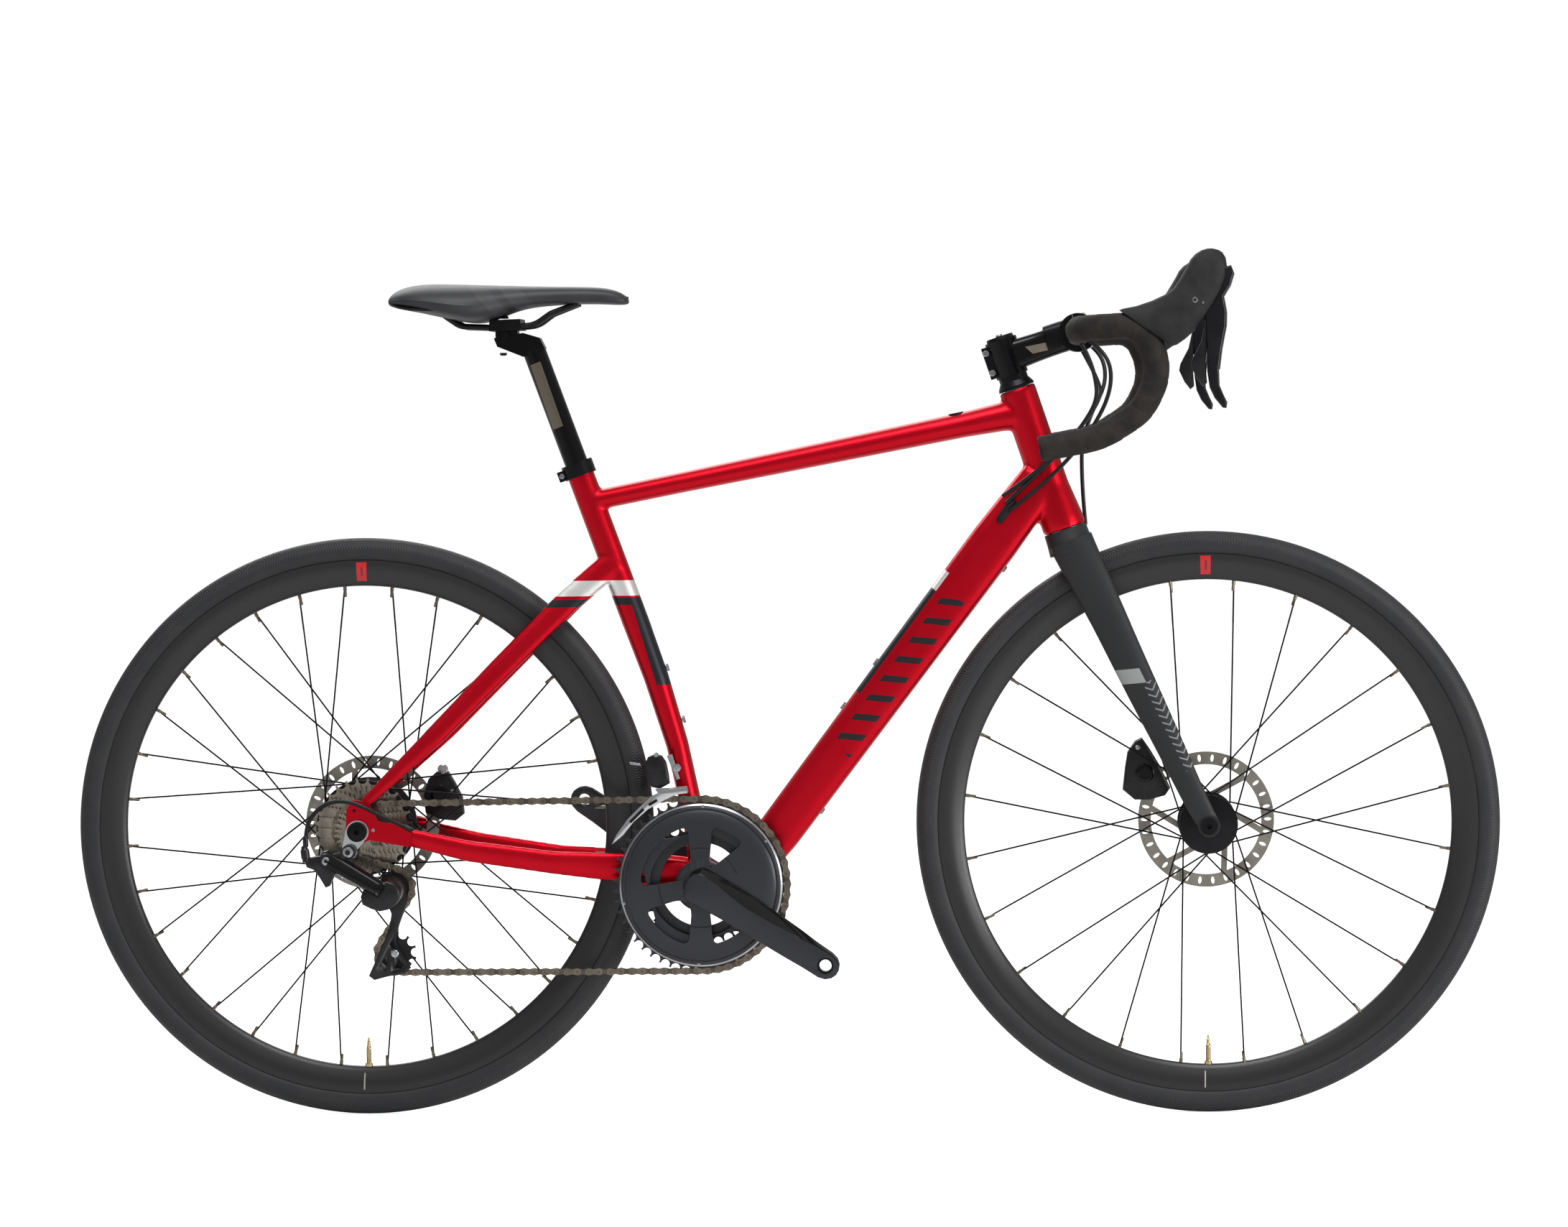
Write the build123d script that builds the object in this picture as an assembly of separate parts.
from build123d import *
import os
from math import asin, atan2, cos, degrees, pi, radians, sin, tan

# An electric-assist road bicycle in millimetres.
# +X points forward, +Y to the rider's left, +Z up.
# The origin is on the ground, midway between the two axles, in the wheel plane.

# ---------------------------------------------------------------- driving sizes
WHEELBASE = 991.0
TYRE_RADIUS = 341.0
TYRE_WIDTH = 30.0
TYRE_WALL = 2.0
BEAD_RADIUS = 311.0
RIM_EDGE_RADIUS = 315.5
RIM_DEPTH = 31.0
RIM_WIDTH = 24.0
RIM_WALL = 1.6
SPOKE_RADIUS = 1.0
FRONT_SPOKES = 24
REAR_SPOKES = 32
ROTOR_RADIUS = 80.0
ROTOR_THICKNESS = 1.8
FRONT_ROTOR_Y = 40.0
REAR_ROTOR_Y = 56.0
FRONT_HUB_WIDTH = 100.0
REAR_HUB_WIDTH = 142.0
AXLE_RADIUS = 6.0
MOTOR_RADIUS = 56.0

CHAINSTAY_RUN, BB_DROP = 399.0, 67.0
BB_X, BB_Z = CHAINSTAY_RUN - WHEELBASE / 2, TYRE_RADIUS - BB_DROP
BB_WIDTH = 68.0
BB_RADIUS = 23.0
BB_BORE_RADIUS = 17.4
SPINDLE_RADIUS = 12.0
CRANK_LENGTH = 172.5
CRANK_ANGLE = -32.4
PEDAL_THREAD_RADIUS = 7.14
ARM_Y = 58.0
ARM_THICKNESS = 13.0
ARM_HALF = 21.0
EYE_RADIUS = 16.6

CHAIN_PITCH = 12.7
BIG_TEETH, SMALL_TEETH = 50, 34
BIG_RING_Y, SMALL_RING_Y = -45.0, -38.0
CASSETTE_TEETH = (11, 12, 13, 14, 15, 17, 19, 21, 23, 25, 28)
CASSETTE_OUTER_Y = -66.5
CASSETTE_STEP = 3.74
CHAIN_SPROCKET = 4
PULLEY_TEETH = 11
GUIDE_X, GUIDE_Z = 38.5 - WHEELBASE / 2, TYRE_RADIUS - 68.0
CAGE_LENGTH = 77.0
ROLLER_RADIUS = 3.85

FORK_RUN, HEAD_RISE = 164.0, 344.5
HEAD_X, HEAD_Z = WHEELBASE / 2 - FORK_RUN, TYRE_RADIUS + HEAD_RISE
HEAD_LENGTH = 173.9
HEAD_TILT = 18.43
HEAD_TOP_RADIUS, HEAD_BOTTOM_RADIUS = 21.5, 25.5
STEERER_RADIUS = 14.3
TUBE_WALL = 1.8

SEAT_X, SEAT_Z = BB_X - 144.5, BB_Z + 492.0
SEAT_TILT = 20.05
SEAT_TUBE_RADIUS = 15.6
POST_RADIUS = 13.6
POST_FIT = 0.05
POST_ABOVE = 144.0
POST_INSERTED = 110.0
POST_BORE_DEPTH = 190.0

STEM_LENGTH = 90.0
BAR_X, BAR_Z = HEAD_X + 16.5, HEAD_Z + 229.5
BAR_HALF_WIDTH = 205.0
BAR_CLAMP_RADIUS = 15.9
BAR_RADIUS = 12.0
TAPE_THICKNESS = 2.8
STEM_BOTTOM = 16.0
STEM_HEIGHT = 44.0

RUN_FIT = 0.05
GAP = 0.4

# ---------------------------------------------------------------- derived places
REAR_X, FRONT_X = -WHEELBASE / 2, WHEELBASE / 2
AXLE_Z = TYRE_RADIUS
HEAD = Plane(
    origin=(HEAD_X, 0, HEAD_Z),
    x_dir=(cos(radians(HEAD_TILT)), 0, sin(radians(HEAD_TILT))),
    z_dir=(-sin(radians(HEAD_TILT)), 0, cos(radians(HEAD_TILT))),
)
SEAT = Plane(
    origin=(SEAT_X, 0, SEAT_Z),
    x_dir=(cos(radians(SEAT_TILT)), 0, sin(radians(SEAT_TILT))),
    z_dir=(-sin(radians(SEAT_TILT)), 0, cos(radians(SEAT_TILT))),
)


def pitch_radius(teeth):
    """Radius at which the chain's rollers sit on a sprocket."""
    return CHAIN_PITCH / 2 / sin(pi / teeth)


# ---------------------------------------------------------------- small helpers
def lateral(x, z, y=0.0):
    """Plane at (x, z) whose own Z points along +Y."""
    return Plane(origin=(x, y, z), x_dir=(1, 0, 0), z_dir=(0, 1, 0))


def side_plate(points, y_low, y_high):
    """A side-view outline of (x, z) points, extruded from y_low to y_high."""
    plane = Plane(origin=(0, y_high, 0), x_dir=(1, 0, 0), z_dir=(0, -1, 0))
    return extrude(plane * make_face(Polyline(*points, close=True)), y_high - y_low)


def turned(points):
    """A closed outline of (radius, height) points turned about Z."""
    return revolve(Plane.XZ * make_face(Polyline(*points, close=True)), Axis.Z)


def turned_y(points, x, z):
    """A closed outline of (radius, y) points turned about a lateral axis at (x, z)."""
    return lateral(x, z) * turned(points)


def disc_y(x, z, radius, y_low, y_high):
    """A solid cylinder along Y."""
    return lateral(x, z, y_low) * extrude(Circle(radius), y_high - y_low)


def ring_y(x, z, outer, inner, y_low, y_high):
    """A hollow cylinder along Y."""
    return lateral(x, z, y_low) * extrude(Circle(outer) - Circle(inner), y_high - y_low)


def rod(start, end, radius):
    """A round bar between two points."""
    a = Vector(*start)
    b = Vector(*end)
    return Solid.make_cylinder(radius, (b - a).length, Plane(origin=a, z_dir=b - a))


def section(point, direction, width, depth, corner=None):
    """A rounded cross-section: width lies near Y, depth across the tube's axis."""
    plane = Plane(origin=point, x_dir=(0, 1, 0), z_dir=direction)
    if corner is None:
        return plane * Ellipse(width / 2, depth / 2)
    return plane * RectangleRounded(width, depth, corner)


def tube_skin(stations, corner=None, inset=0.0, ruled=False):
    """A loft through (x, y, z, direction, width, depth) stations, inset by a wall."""
    faces = []
    for x, y, z, direction, width, depth in stations:
        radius = None if corner is None else max(corner - inset, 0.5)
        faces.append(
            section((x, y, z), direction, width - 2 * inset, depth - 2 * inset, radius)
        )
    return loft(faces, ruled=ruled)


def mirrored(shape):
    """The same piece on the other side of the wheel plane."""
    return mirror(shape, Plane.XZ)


def group(*shapes):
    """Separate solids kept in one node."""
    solids = []
    for shape in shapes:
        solids.extend(shape.solids())
    return Compound(children=solids)


def swept(points, radii, outer, inner=0.0):
    """A round tube or rod along straight runs joined by arcs."""
    path = FilletPolyline(*points, radius=radii)
    plane = Plane(origin=path @ 0, z_dir=path % 0)
    profile = Circle(outer) if inner == 0.0 else Circle(outer) - Circle(inner)
    return sweep(plane * profile, path)


def write(shape, name):
    """One STEP file for each node."""
    export_step(shape, f"parts/{name}.step")


def along_head(height, forward=0.0):
    """World (x, z) of a point on the steering axis plane."""
    point = HEAD.from_local_coords(Vector(forward, 0, height))
    return point.X, point.Z


def along_seat(height, forward=0.0):
    """World (x, z) of a point on the seat tube's upper axis."""
    point = SEAT.from_local_coords(Vector(forward, 0, height))
    return point.X, point.Z


# ---------------------------------------------------------------- frame tubes
HEAD_DIR = (-sin(radians(HEAD_TILT)), 0, cos(radians(HEAD_TILT)))
SEAT_DIR = (sin(radians(SEAT_TILT)), 0, -cos(radians(SEAT_TILT)))
TOP_BACK, TOP_FRONT = (SEAT_X + 9, SEAT_Z - 44.5), (HEAD_X - 39.5, HEAD_Z + 138.5)
DOWN_BACK, DOWN_FRONT = (BB_X + 89.8, BB_Z + 58.5), (HEAD_X - 15.5, HEAD_Z + 74.5)


def unit(start, end):
    """Direction in side view from one (x, z) point to another."""
    run = Vector(end[0] - start[0], 0, end[1] - start[1]).normalized()
    return (run.X, 0, run.Z)


TOP_DIR = unit(TOP_BACK, TOP_FRONT)
DOWN_DIR = unit(DOWN_BACK, DOWN_FRONT)
BEARING_RADIUS_TOP, BEARING_RADIUS_BOTTOM = 19.4, 23.0
BEARING_HEIGHT = 7.0


def head_tube_outer():
    """The head tube without its bore, used to mitre its neighbours."""
    profile = [
        (0, 0),
        (HEAD_BOTTOM_RADIUS, 0),
        (HEAD_BOTTOM_RADIUS, 14),
        (HEAD_TOP_RADIUS, 52),
        (HEAD_TOP_RADIUS, HEAD_LENGTH),
        (0, HEAD_LENGTH),
    ]
    return HEAD * turned(profile)


def head_tube():
    """Hollow head tube with a bearing seat at each end."""
    bore = STEERER_RADIUS + 2.7
    cut = [
        (0, -1),
        (BEARING_RADIUS_BOTTOM, -1),
        (BEARING_RADIUS_BOTTOM, BEARING_HEIGHT),
        (bore, BEARING_HEIGHT),
        (bore, HEAD_LENGTH - BEARING_HEIGHT),
        (BEARING_RADIUS_TOP, HEAD_LENGTH - BEARING_HEIGHT),
        (BEARING_RADIUS_TOP, HEAD_LENGTH + 1),
        (0, HEAD_LENGTH + 1),
    ]
    return head_tube_outer() - HEAD * turned(cut)


def headset_bearings():
    """Upper and lower cartridge bearings round the steerer."""
    inner = STEERER_RADIUS + RUN_FIT
    lower = ring_z(BEARING_RADIUS_BOTTOM - 0.02, inner, 0, BEARING_HEIGHT)
    upper = ring_z(
        BEARING_RADIUS_TOP - 0.02, inner, HEAD_LENGTH - BEARING_HEIGHT, HEAD_LENGTH
    )
    return group(HEAD * lower, HEAD * upper)


def ring_z(outer, inner, low, high):
    """A hollow cylinder along Z."""
    return Pos(0, 0, low) * extrude(Circle(outer) - Circle(inner), high - low)


def seat_tube_stations():
    """Seat tube stations from the collar down to the bottom bracket."""
    top_x, top_z = along_seat(0)
    mid_x, mid_z = along_seat(-POST_BORE_DEPTH - 15)
    width = 2 * SEAT_TUBE_RADIUS
    return [
        (top_x, 0, top_z, SEAT_DIR, width, width),
        (mid_x, 0, mid_z, SEAT_DIR, width, width),
        (BB_X - 53.5, 0, BB_Z + 241, (0.29, 0, -0.957), width + 1, width - 2),
        (BB_X - 29.5, 0, BB_Z + 162, (0.27, 0, -0.963), width + 3, width - 5),
        (BB_X - 11, 0, BB_Z + 76, (0.2, 0, -0.98), width + 7, width - 6),
        (BB_X - 3, 0, BB_Z + 8, (0.1, 0, -0.995), width + 12, width - 6),
    ]


def seat_tube_outer():
    """The seat tube without its bore."""
    stations = seat_tube_stations()
    straight = tube_skin(stations[:2])
    lower = tube_skin(stations[1:])
    return straight + lower


def seat_tube(bb_outer):
    """Seat tube with a round bore for the post and a hollow lower part."""
    bore = SEAT * Pos(0, 0, -POST_BORE_DEPTH) * extrude(
        Circle(POST_RADIUS + POST_FIT), POST_BORE_DEPTH + 2
    )
    hollow = tube_skin(seat_tube_stations()[2:], inset=TUBE_WALL)
    return seat_tube_outer() - bore - hollow - bb_outer


def top_tube_stations():
    """Top tube stations from the seat tube to the head tube."""
    return [
        (TOP_BACK[0], 0, TOP_BACK[1], TOP_DIR, 30, 23.5),
        (SEAT_X + 123, 0, SEAT_Z - 22, TOP_DIR, 31, 23.5),
        (HEAD_X - 118.5, 0, HEAD_Z + 123, TOP_DIR, 36, 29),
        (TOP_FRONT[0], 0, TOP_FRONT[1], TOP_DIR, 38, 37),
    ]


def top_tube(head_outer, seat_outer):
    """Hollow top tube with the hole for its control button."""
    hole = disc_along(BUTTON_PLANE, BUTTON_RADIUS + 0.3, -8, 8)
    outer = tube_skin(top_tube_stations())
    inner = tube_skin(top_tube_stations(), inset=TUBE_WALL)
    return biggest(outer - inner - head_outer - seat_outer) - hole


def disc_along(plane, radius, low, high):
    """A cylinder along a plane's own Z."""
    return plane * Pos(0, 0, low) * extrude(Circle(radius), high - low)


def biggest(shape):
    """Only the largest solid, dropping slivers behind a mitre."""
    return max(shape.solids(), key=lambda s: s.volume)


BUTTON_X = HEAD_X - 126.5
BUTTON_RADIUS = 9.0
BUTTON_PLANE = Plane(
    origin=(BUTTON_X, 0, HEAD_Z + 136.0),
    x_dir=(0.981, 0, 0.191),
    z_dir=(-0.191, 0, 0.981),
)


def down_tube_stations():
    """Down tube stations from the bottom bracket to the head tube."""
    return [
        (BB_X + 2.5, 0, BB_Z - 12, (0.93, 0, 0.36), 50, 42),
        (BB_X + 26.5, 0, BB_Z - 2, (0.86, 0, 0.50), 50, 45),
        (BB_X + 50.5, 0, BB_Z + 15, (0.75, 0, 0.66), 50, 48),
        (BB_X + 72.5, 0, BB_Z + 38, (0.65, 0, 0.76), 50, 50),
        (DOWN_BACK[0], 0, DOWN_BACK[1], DOWN_DIR, 50, 51),
        (HEAD_X - 211.5, 0, HEAD_Z - 185, DOWN_DIR, 50, 53.5),
        (HEAD_X - 81.5, 0, HEAD_Z - 13, DOWN_DIR, 50, 56),
        (DOWN_FRONT[0], 0, DOWN_FRONT[1], DOWN_DIR, 46, 50),
    ]


def down_tube_outer():
    """The down tube without its hollow."""
    return tube_skin(down_tube_stations(), corner=17, ruled=True)


def down_tube(head_outer, top_outer, bb_outer, seat_outer):
    """Deep hollow down tube that carries the battery."""
    inner = tube_skin(down_tube_stations(), corner=17, inset=TUBE_WALL, ruled=True)
    body = down_tube_outer() - inner
    return biggest(body - head_outer - top_outer - bb_outer - seat_outer)


def battery_pack():
    """The battery inside the down tube."""
    start = (BB_X + 106.5, 0, BB_Z + 80.6)
    length = 330.0
    plane = Plane(origin=start, x_dir=(0, 1, 0), z_dir=DOWN_DIR)
    return plane * extrude(RectangleRounded(40, 40, 9), length)


def bb_outer():
    """The bottom bracket shell without its bore."""
    return disc_y(BB_X, BB_Z, BB_RADIUS, -BB_WIDTH / 2, BB_WIDTH / 2)


def bottom_bracket_shell():
    """Threaded shell, shown smooth inside."""
    half = BB_WIDTH / 2
    return ring_y(BB_X, BB_Z, BB_RADIUS, BB_BORE_RADIUS, -half, half)


def bottom_bracket():
    """Both bearing cups and the sleeve between them."""
    half = BB_WIDTH / 2
    inner = SPINDLE_RADIUS + RUN_FIT
    cups = []
    for side in (-1, 1):
        profile = [
            (inner, side * (half - 16)),
            (BB_BORE_RADIUS - 0.02, side * (half - 16)),
            (BB_BORE_RADIUS - 0.02, side * half),
            (20.5, side * half),
            (20.5, side * (half + 9)),
            (inner, side * (half + 9)),
        ]
        cups.append(turned_y(profile, BB_X, BB_Z))
    sleeve = ring_y(BB_X, BB_Z, 15.5, 14.0, -(half - 16), half - 16)
    return group(*cups, sleeve)


def chainstay_stations():
    """Right chainstay stations from the dropout to the bottom bracket."""
    half = REAR_HUB_WIDTH / 2
    return [
        (REAR_X + 58.5, -(half - 5), AXLE_Z - 7.5, (0.95, 0.10, -0.25), 11, 21),
        (REAR_X + 127.5, -(half - 14), AXLE_Z - 25, (0.97, 0.13, -0.2), 13, 25),
        (REAR_X + 224.5, -(half - 28), AXLE_Z - 40, (0.98, 0.16, -0.12), 13, 27),
        (BB_X - 93.5, -(half - 43.5), BB_Z + 19, (0.99, 0.10, -0.1), 12, 35),
        (BB_X - 14, -(half - 49), BB_Z + 9, (0.99, 0.05, -0.1), 16, 34),
    ]


def chainstays(bb_solid, dropout_solid, seat_outer, down_outer):
    """Both hollow chainstays."""
    outer = tube_skin(chainstay_stations())
    inner = tube_skin(chainstay_stations(), inset=TUBE_WALL)
    right = biggest(outer - inner - bb_solid - dropout_solid - seat_outer - down_outer)
    return group(right, mirrored(right))


def seatstay_stations():
    """Right seatstay stations from the seat tube to the dropout."""
    half = REAR_HUB_WIDTH / 2
    return [
        (SEAT_X + 44, -9, SEAT_Z - 113, (-0.74, -0.12, -0.66), 15, 30),
        (SEAT_X - 7, -19, SEAT_Z - 156, (-0.70, -0.17, -0.69), 14, 29),
        (REAR_X + 165.5, -(half - 31), AXLE_Z + 187.5, (-0.69, -0.2, -0.70), 13, 27),
        (REAR_X + 89.5, -(half - 13), AXLE_Z + 110, (-0.70, -0.16, -0.70), 12, 23.5),
        (REAR_X + 11.5, -(half - 3), AXLE_Z + 36, (-0.72, -0.05, -0.69), 8, 13.5),
    ]


def seatstays(seat_outer, dropout_solid):
    """Both hollow seatstays."""
    outer = tube_skin(seatstay_stations())
    inner = tube_skin(seatstay_stations(), inset=TUBE_WALL)
    right = biggest(outer - inner - seat_outer - dropout_solid)
    return group(right, mirrored(right))


def dropout_solids():
    """Right dropout with its chainstay lug and the bore for the axle."""
    half = REAR_HUB_WIDTH / 2
    outline = [
        (REAR_X - 13, AXLE_Z + 26),
        (REAR_X - 5, AXLE_Z + 37),
        (REAR_X + 13, AXLE_Z + 34),
        (REAR_X + 24, AXLE_Z + 12),
        (REAR_X + 58, AXLE_Z + 5),
        (REAR_X + 58, AXLE_Z - 18),
        (REAR_X + 14, AXLE_Z - 10),
        (REAR_X + 4, AXLE_Z - 14),
        (REAR_X - 8, AXLE_Z - 12),
        (REAR_X - 14, AXLE_Z),
    ]
    lug = [
        (REAR_X + 36, AXLE_Z + 9.5),
        (REAR_X + 63, AXLE_Z + 3.5),
        (REAR_X + 63, AXLE_Z - 18),
        (REAR_X + 36, AXLE_Z - 14),
    ]
    plate = side_plate(outline, -(half + DROPOUT_THICKNESS), -half)
    block = side_plate(lug, -(half + DROPOUT_THICKNESS), -(half - 9))
    return plate + block


DROPOUT_THICKNESS = 4.5


def axle_bore(x, y_low, y_high):
    """The clearance hole for an axle."""
    return disc_y(x, AXLE_Z, AXLE_RADIUS + RUN_FIT, y_low, y_high)


def dropouts():
    """Both rear dropouts."""
    right = dropout_solids() - axle_bore(REAR_X, -100, -50)
    return group(right, mirrored(right))


HANGER_THICKNESS = 3.0
HANGER_BOLT_X, HANGER_BOLT_Z = REAR_X - 9.5, AXLE_Z - 23.0


def derailleur_hanger():
    """The replaceable hanger outside the right dropout."""
    face = -(REAR_HUB_WIDTH / 2 + DROPOUT_THICKNESS)
    low = face - HANGER_THICKNESS
    body = disc_y(REAR_X, AXLE_Z, 13.2, low, face)
    arm = [
        (REAR_X - 14, AXLE_Z + 1),
        (REAR_X - 11, AXLE_Z + 7),
        (REAR_X + 8, AXLE_Z - 12),
        (HANGER_BOLT_X + 9, HANGER_BOLT_Z + 2),
        (HANGER_BOLT_X - 9, HANGER_BOLT_Z + 2),
        (REAR_X - 16, AXLE_Z - 10),
    ]
    body += side_plate(arm, low, face)
    body += disc_y(HANGER_BOLT_X, HANGER_BOLT_Z, 9, low, face)
    body -= axle_bore(REAR_X, low - 1, face + 1)
    return body - disc_y(HANGER_BOLT_X, HANGER_BOLT_Z, 5.05, low - 1, face + 1)


def rear_axle():
    """Thru-axle with its flanged head on the right."""
    half = REAR_HUB_WIDTH / 2
    face = -(half + DROPOUT_THICKNESS + HANGER_THICKNESS)
    body = disc_y(REAR_X, AXLE_Z, AXLE_RADIUS, face, half + DROPOUT_THICKNESS)
    head = disc_y(REAR_X, AXLE_Z, 11.5, face - 5, face)
    socket = lateral(REAR_X, AXLE_Z, face - 6) * extrude(RegularPolygon(3.4, 6), 8)
    return body + head - socket


def seat_collar():
    """Clamp ring at the top of the seat tube, round the post."""
    inner = SEAT_TUBE_RADIUS + RUN_FIT
    ring = ring_z(inner + 3.2, inner, -14, 0.1)
    lip = ring_z(inner + 3.2, POST_RADIUS + 0.35, 0.1, 2.2)
    ear = Pos(-inner - 5, 0, -7) * Box(9, 17, 12)
    slot = Pos(-inner - 6, 0, -7) * Box(16, 1.4, 16)
    return SEAT * (ring + lip + ear - cut_core(inner) - slot)


def cut_core(inner):
    """The space taken by the tube and the post inside a collar."""
    tube = Pos(0, 0, -30) * extrude(Circle(inner), 30.1)
    post = Pos(0, 0, -1) * extrude(Circle(POST_RADIUS + 0.35), 10)
    return tube + post


# ---------------------------------------------------------------- bottle bosses
BOTTLE_SPACING = 64.0


def bottle_planes():
    """Planes on the tube faces whose Z points out of each bottle boss."""
    down_normal = (-DOWN_DIR[2], 0, DOWN_DIR[0])
    planes = []
    for shift in (-BOTTLE_SPACING / 2, BOTTLE_SPACING / 2):
        centre = Vector(BB_X + 186.5, 0, BB_Z + 231.2) + Vector(*DOWN_DIR) * shift
        planes.append(Plane(origin=centre, x_dir=(0, 1, 0), z_dir=down_normal))
    for shift in (-BOTTLE_SPACING / 2, BOTTLE_SPACING / 2):
        centre = Vector(BB_X - 32.0, 0, BB_Z + 221.9) + Vector(0.29, 0, -0.957) * shift
        planes.append(Plane(origin=centre, x_dir=(0, 1, 0), z_dir=(0.957, 0, 0.29)))
    return planes


def bottle_bolts(tubes):
    """Four button-head screws in the bottle bosses."""
    bolts = []
    for plane in bottle_planes():
        head = extrude(Circle(4.6), 2.6) - Pos(0, 0, 1.2) * extrude(RegularPolygon(1.7, 6), 3)
        bolt = plane * (head + Pos(0, 0, -5.5) * extrude(Circle(2.5), 6))
        for tube in tubes:
            bolt -= tube
        bolts.append(biggest(bolt))
    return group(*bolts)


# ---------------------------------------------------------------- fork and steering
CROWN_GAP = 0.5
TYRE_CLEARANCE = 5.5


def fork_leg_stations():
    """Right fork blade stations from the crown to the axle."""
    half = FRONT_HUB_WIDTH / 2
    return [
        (HEAD_X + 6.5, -17, HEAD_Z - 13.5, (0.36, -0.1, -0.93), 34, 52),
        (HEAD_X + 20.5, -27, HEAD_Z - 43.5, (0.38, -0.15, -0.92), 20, 49),
        (HEAD_X + 42.5, -32, HEAD_Z - 88.5, (0.42, -0.11, -0.9), 16.5, 44),
        (HEAD_X + 76.5, -38, AXLE_Z + 183, (0.43, -0.09, -0.9), 15.5, 39),
        (FRONT_X - 49.5, -46, AXLE_Z + 103, (0.44, -0.08, -0.9), 13.5, 33.5),
        (FRONT_X - 21.5, -(half + 3), AXLE_Z + 43, (0.44, -0.05, -0.9), 11, 29),
        (FRONT_X - 1, -(half + 5), AXLE_Z + 4, (0.44, 0, -0.9), 9.6, 25),
    ]


def fork():
    """Fork crown, hollow blades, axle ends and steerer tube."""
    half = FRONT_HUB_WIDTH / 2
    leg = tube_skin(fork_leg_stations())
    tip = disc_y(FRONT_X, AXLE_Z, 13, -(half + 10), -half)
    hollow = tube_skin(fork_leg_stations()[2:6], inset=2.4)
    crown = HEAD * loft(
        [
            Pos(0, 0, -CROWN_GAP) * Circle(HEAD_BOTTOM_RADIUS),
            Pos(0, 0, -14) * RectangleRounded(52, 60, 24),
            Pos(0, 0, -26) * RectangleRounded(54, 70, 24),
        ]
    )
    right = leg + tip - hollow
    steerer_length = HEAD_LENGTH + STEM_BOTTOM + STEM_HEIGHT - 4
    steerer = HEAD * ring_z(STEERER_RADIUS, STEERER_RADIUS - 2.2, -CROWN_GAP - 1, steerer_length)
    wheel_space = disc_y(FRONT_X, AXLE_Z, TYRE_RADIUS + TYRE_CLEARANCE, -21, 21)
    hub_space = disc_y(FRONT_X, AXLE_Z, 90, -half, half)
    body = right + mirrored(right) + crown - wheel_space - hub_space + steerer
    return body - axle_bore(FRONT_X, -80, 80)


def front_axle():
    """Front thru-axle with a flanged head on the right."""
    half = FRONT_HUB_WIDTH / 2 + 10
    body = disc_y(FRONT_X, AXLE_Z, AXLE_RADIUS, -half, half)
    head = disc_y(FRONT_X, AXLE_Z, 10, -half - 4, -half)
    socket = lateral(FRONT_X, AXLE_Z, -half - 5) * extrude(RegularPolygon(3.4, 6), 8)
    return body + head - socket


def headset_spacers():
    """Conical headset cover, spacers under the stem and the top cap."""
    inner = STEERER_RADIUS + RUN_FIT
    low = HEAD_LENGTH + CROWN_GAP
    cover = HEAD * turned(
        [
            (inner, low),
            (HEAD_TOP_RADIUS, low),
            (HEAD_TOP_RADIUS - 0.5, low + 3),
            (17.5, low + 9),
            (inner, low + 9),
        ]
    )
    spacer = HEAD * ring_z(17.0, inner, low + 9, HEAD_LENGTH + STEM_BOTTOM)
    top = HEAD_LENGTH + STEM_BOTTOM + STEM_HEIGHT
    cap = HEAD * turned([(0, top), (16.5, top), (15.5, top + 4), (0, top + 4)])
    return group(cover, spacer, cap)


def stem_plane():
    """Plane at the steerer clamp's centre; its X runs along the stem."""
    x, z = along_head(HEAD_LENGTH + STEM_BOTTOM + STEM_HEIGHT / 2)
    run = Vector(BAR_X - x, 0, BAR_Z - z)
    return Plane(origin=(x, 0, z), x_dir=run, z_dir=(0, -1, 0)), run.length


def stem():
    """Stem: steerer clamp, neck and rear half of the bar clamp."""
    plane, length = stem_plane()
    low = HEAD_LENGTH + STEM_BOTTOM
    barrel = HEAD * Pos(0, 0, low) * extrude(Circle(19), STEM_HEIGHT)
    neck_plane = Plane(origin=plane.origin, x_dir=(0, 1, 0), z_dir=plane.x_dir)
    neck = neck_plane * loft(
        [
            RectangleRounded(33, 38, 9),
            Pos(0, 0, length * 0.5) * RectangleRounded(32, 33, 9),
            Pos(0, 0, length - 8) * RectangleRounded(44, 34, 8),
        ]
    )
    clamp = disc_y(BAR_X, BAR_Z, 22.5, -22, 22)
    face_cut = neck_plane * Pos(0, 0, length + 25) * Box(60, 60, 50)
    bore = HEAD * Pos(0, 0, low - 5) * extrude(Circle(STEERER_RADIUS + 0.03), STEM_HEIGHT + 10)
    bar_bore = disc_y(BAR_X, BAR_Z, BAR_CLAMP_RADIUS + 0.03, -40, 40)
    ear = Pos(-19, 0, low + STEM_HEIGHT / 2) * Box(12, 20, STEM_HEIGHT - 6)
    return barrel + neck + HEAD * ear + clamp - face_cut - bore - bar_bore - steerer_slot(low)


def steerer_slot(low):
    """The pinch slot at the back of the stem."""
    return HEAD * Pos(-22, 0, low + STEM_HEIGHT / 2) * Box(24, 1.6, STEM_HEIGHT + 4)


def stem_faceplate():
    """Front half of the bar clamp with its four screws' bosses."""
    plane, length = stem_plane()
    neck_plane = Plane(origin=plane.origin, x_dir=(0, 1, 0), z_dir=plane.x_dir)
    clamp = disc_y(BAR_X, BAR_Z, 22.5, -22, 22)
    keep = neck_plane * Pos(0, 0, length + 25 + 0.8) * Box(60, 60, 50)
    bar_bore = disc_y(BAR_X, BAR_Z, BAR_CLAMP_RADIUS + 0.03, -40, 40)
    return (clamp & keep) - bar_bore


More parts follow.
